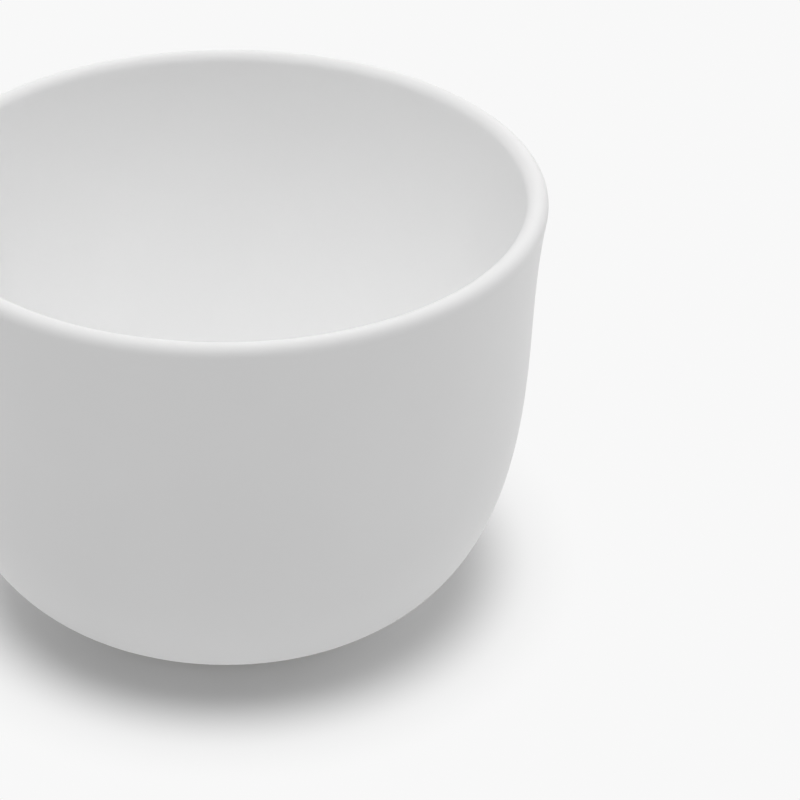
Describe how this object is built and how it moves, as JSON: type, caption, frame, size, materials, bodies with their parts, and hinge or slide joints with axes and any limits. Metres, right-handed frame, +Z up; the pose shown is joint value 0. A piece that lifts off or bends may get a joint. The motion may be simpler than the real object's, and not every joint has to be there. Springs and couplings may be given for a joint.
{
  "type": "handleless espresso cup",
  "caption": "White porcelain espresso cup without a handle: full-round lip, slight flare, straight wall, rounded lower body and a small bare foot ring.",
  "frame": {"origin": "centre of the plane that the foot ring stands on", "axes": "+Z up along the axis of revolution, from the foot to the mouth; X and Y are alike"},
  "size_m": [0.065, 0.065, 0.047],
  "materials": {
    "porcelain": "bare fired porcelain, fine and matt",
    "glaze": "smooth white satin glaze",
    "base_glaze": "white satin glaze, wiped round its edge"
  },
  "bodies": {
    "root": {"porcelain_body": "porcelain", "glaze_coat": "glaze", "base_glaze": "base_glaze"}
  },
  "joints": []
}
